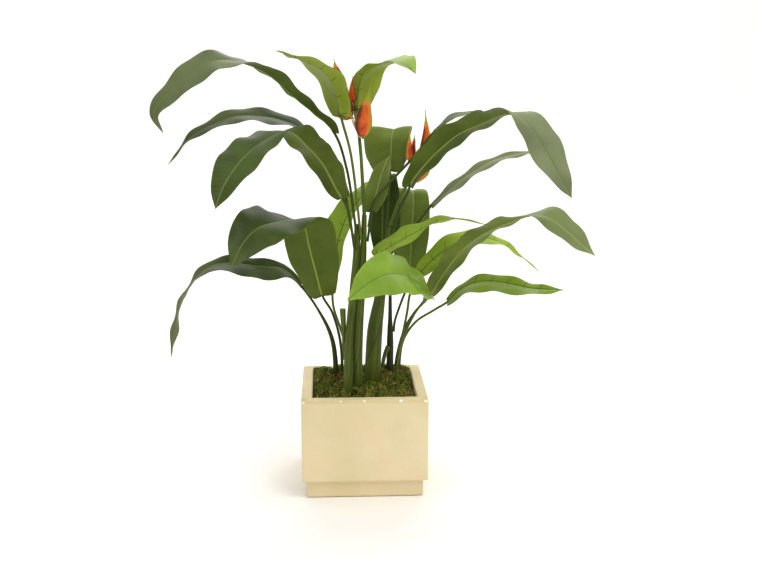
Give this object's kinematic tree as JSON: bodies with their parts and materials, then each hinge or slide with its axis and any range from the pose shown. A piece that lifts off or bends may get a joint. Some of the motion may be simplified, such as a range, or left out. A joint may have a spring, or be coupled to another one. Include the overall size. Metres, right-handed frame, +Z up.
{
  "type": "potted heliconia",
  "caption": "Tall leafy heliconia with long-stalked paddle leaves and red boat-shaped bracts, standing in a square cast planter topped with moss.",
  "frame": {"origin": "middle of the planter's underside, where it rests", "axes": "+Z up, +X to the viewer's right, +Y away from the viewer; the planter's sides lie along X and Y"},
  "size_m": [0.8171, 0.6252, 0.8734],
  "materials": {
    "planter_cast": "matte",
    "soil": "matte",
    "moss": "matte",
    "stem": "satin",
    "leaf_dark": "satin",
    "leaf_light": "satin",
    "bract": "satin",
    "floret": "satin"
  },
  "bodies": {
    "root": {"bract_left_1": "bract", "bract_left_2": "bract", "bract_left_3": "bract", "bract_right_1": "bract", "bract_right_2": "bract", "bract_right_3": "bract", "cut_stub_left": "stem", "cut_stub_right": "stem", "florets": "floret", "flower_stalk_left": "stem", "flower_stalk_right": "stem", "leaf_back_centre": "leaf_light", "leaf_back_left": "leaf_light", "leaf_back_upright": "leaf_dark", "leaf_behind_left": "leaf_dark", "leaf_behind_right": "leaf_dark", "leaf_centre_right": "leaf_light", "leaf_fold_left": "leaf_dark", "leaf_foot_right": "leaf_light", "leaf_front": "leaf_light", "leaf_front_left": "leaf_dark", "leaf_low_left": "leaf_dark", "leaf_low_right": "leaf_dark", "leaf_mid_left": "leaf_dark", "leaf_right_arched": "leaf_dark", "leaf_right_behind": "leaf_dark", "leaf_right_light": "leaf_light", "leaf_right_narrow": "leaf_dark", "leaf_top_centre": "leaf_light", "leaf_top_left": "leaf_dark", "leaf_top_right": "leaf_light", "moss": "moss", "planter": "planter_cast", "soil": "soil", "stem_a_left": "stem", "stem_a_right": "stem", "stem_b": "stem", "stem_c": "stem"}
  },
  "joints": []
}
